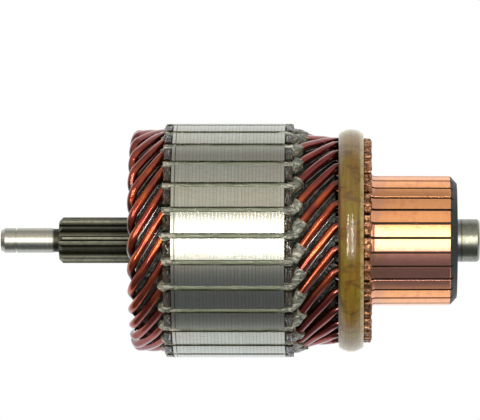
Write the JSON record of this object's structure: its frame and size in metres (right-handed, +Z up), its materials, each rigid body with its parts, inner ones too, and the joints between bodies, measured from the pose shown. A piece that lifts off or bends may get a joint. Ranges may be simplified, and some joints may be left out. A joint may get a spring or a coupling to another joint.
{
  "type": "motor armature",
  "caption": "Armature of a geared starter motor: shaft with a sun gear, slotted laminated core, hairpin windings, banding ring and commutator.",
  "frame": {"origin": "on the shaft axis, half way along the shaft", "axes": "+X along the shaft from the gear end to the commutator end, +Z up, the side in the picture faces -Y"},
  "size_m": [0.139, 0.068, 0.068],
  "materials": {
    "shaft_steel": "turned and ground steel, oxide film on the gear",
    "core_steel": "turned edges of thin electrical sheet",
    "fibre_board": "pressed brown fibre",
    "slot_paper": "resin-coated grey-green paper",
    "enamelled_copper": "round copper wire under glossy red-orange enamel",
    "layer_paper": "dark varnished paper",
    "banding_resin": "olive-amber resin over wound glass cord",
    "commutator_copper": "turned bare copper, fused and rough at the risers",
    "mica": "pressed mica strip",
    "phenolic": "moulded black phenolic",
    "bush_steel": "plain turned steel"
  },
  "bodies": {
    "root": {"shaft": "shaft_steel", "core_stack": "core_steel", "front_end_insulator": "fibre_board", "rear_end_insulator": "fibre_board", "slot_liners": "slot_paper", "coil_01": "enamelled_copper", "coil_02": "enamelled_copper", "coil_03": "enamelled_copper", "coil_04": "enamelled_copper", "coil_05": "enamelled_copper", "coil_06": "enamelled_copper", "coil_07": "enamelled_copper", "coil_08": "enamelled_copper", "coil_09": "enamelled_copper", "coil_10": "enamelled_copper", "coil_11": "enamelled_copper", "coil_12": "enamelled_copper", "coil_13": "enamelled_copper", "coil_14": "enamelled_copper", "coil_15": "enamelled_copper", "coil_16": "enamelled_copper", "coil_17": "enamelled_copper", "coil_18": "enamelled_copper", "coil_19": "enamelled_copper", "coil_20": "enamelled_copper", "coil_21": "enamelled_copper", "coil_22": "enamelled_copper", "coil_23": "enamelled_copper", "coil_24": "enamelled_copper", "coil_25": "enamelled_copper", "coil_26": "enamelled_copper", "coil_27": "enamelled_copper", "coil_28": "enamelled_copper", "front_layer_sleeve": "layer_paper", "rear_layer_sleeve": "layer_paper", "banding_ring": "banding_resin", "commutator_bars": "commutator_copper", "mica_segments": "mica", "commutator_moulding": "phenolic", "commutator_bush": "bush_steel"}
  },
  "joints": []
}
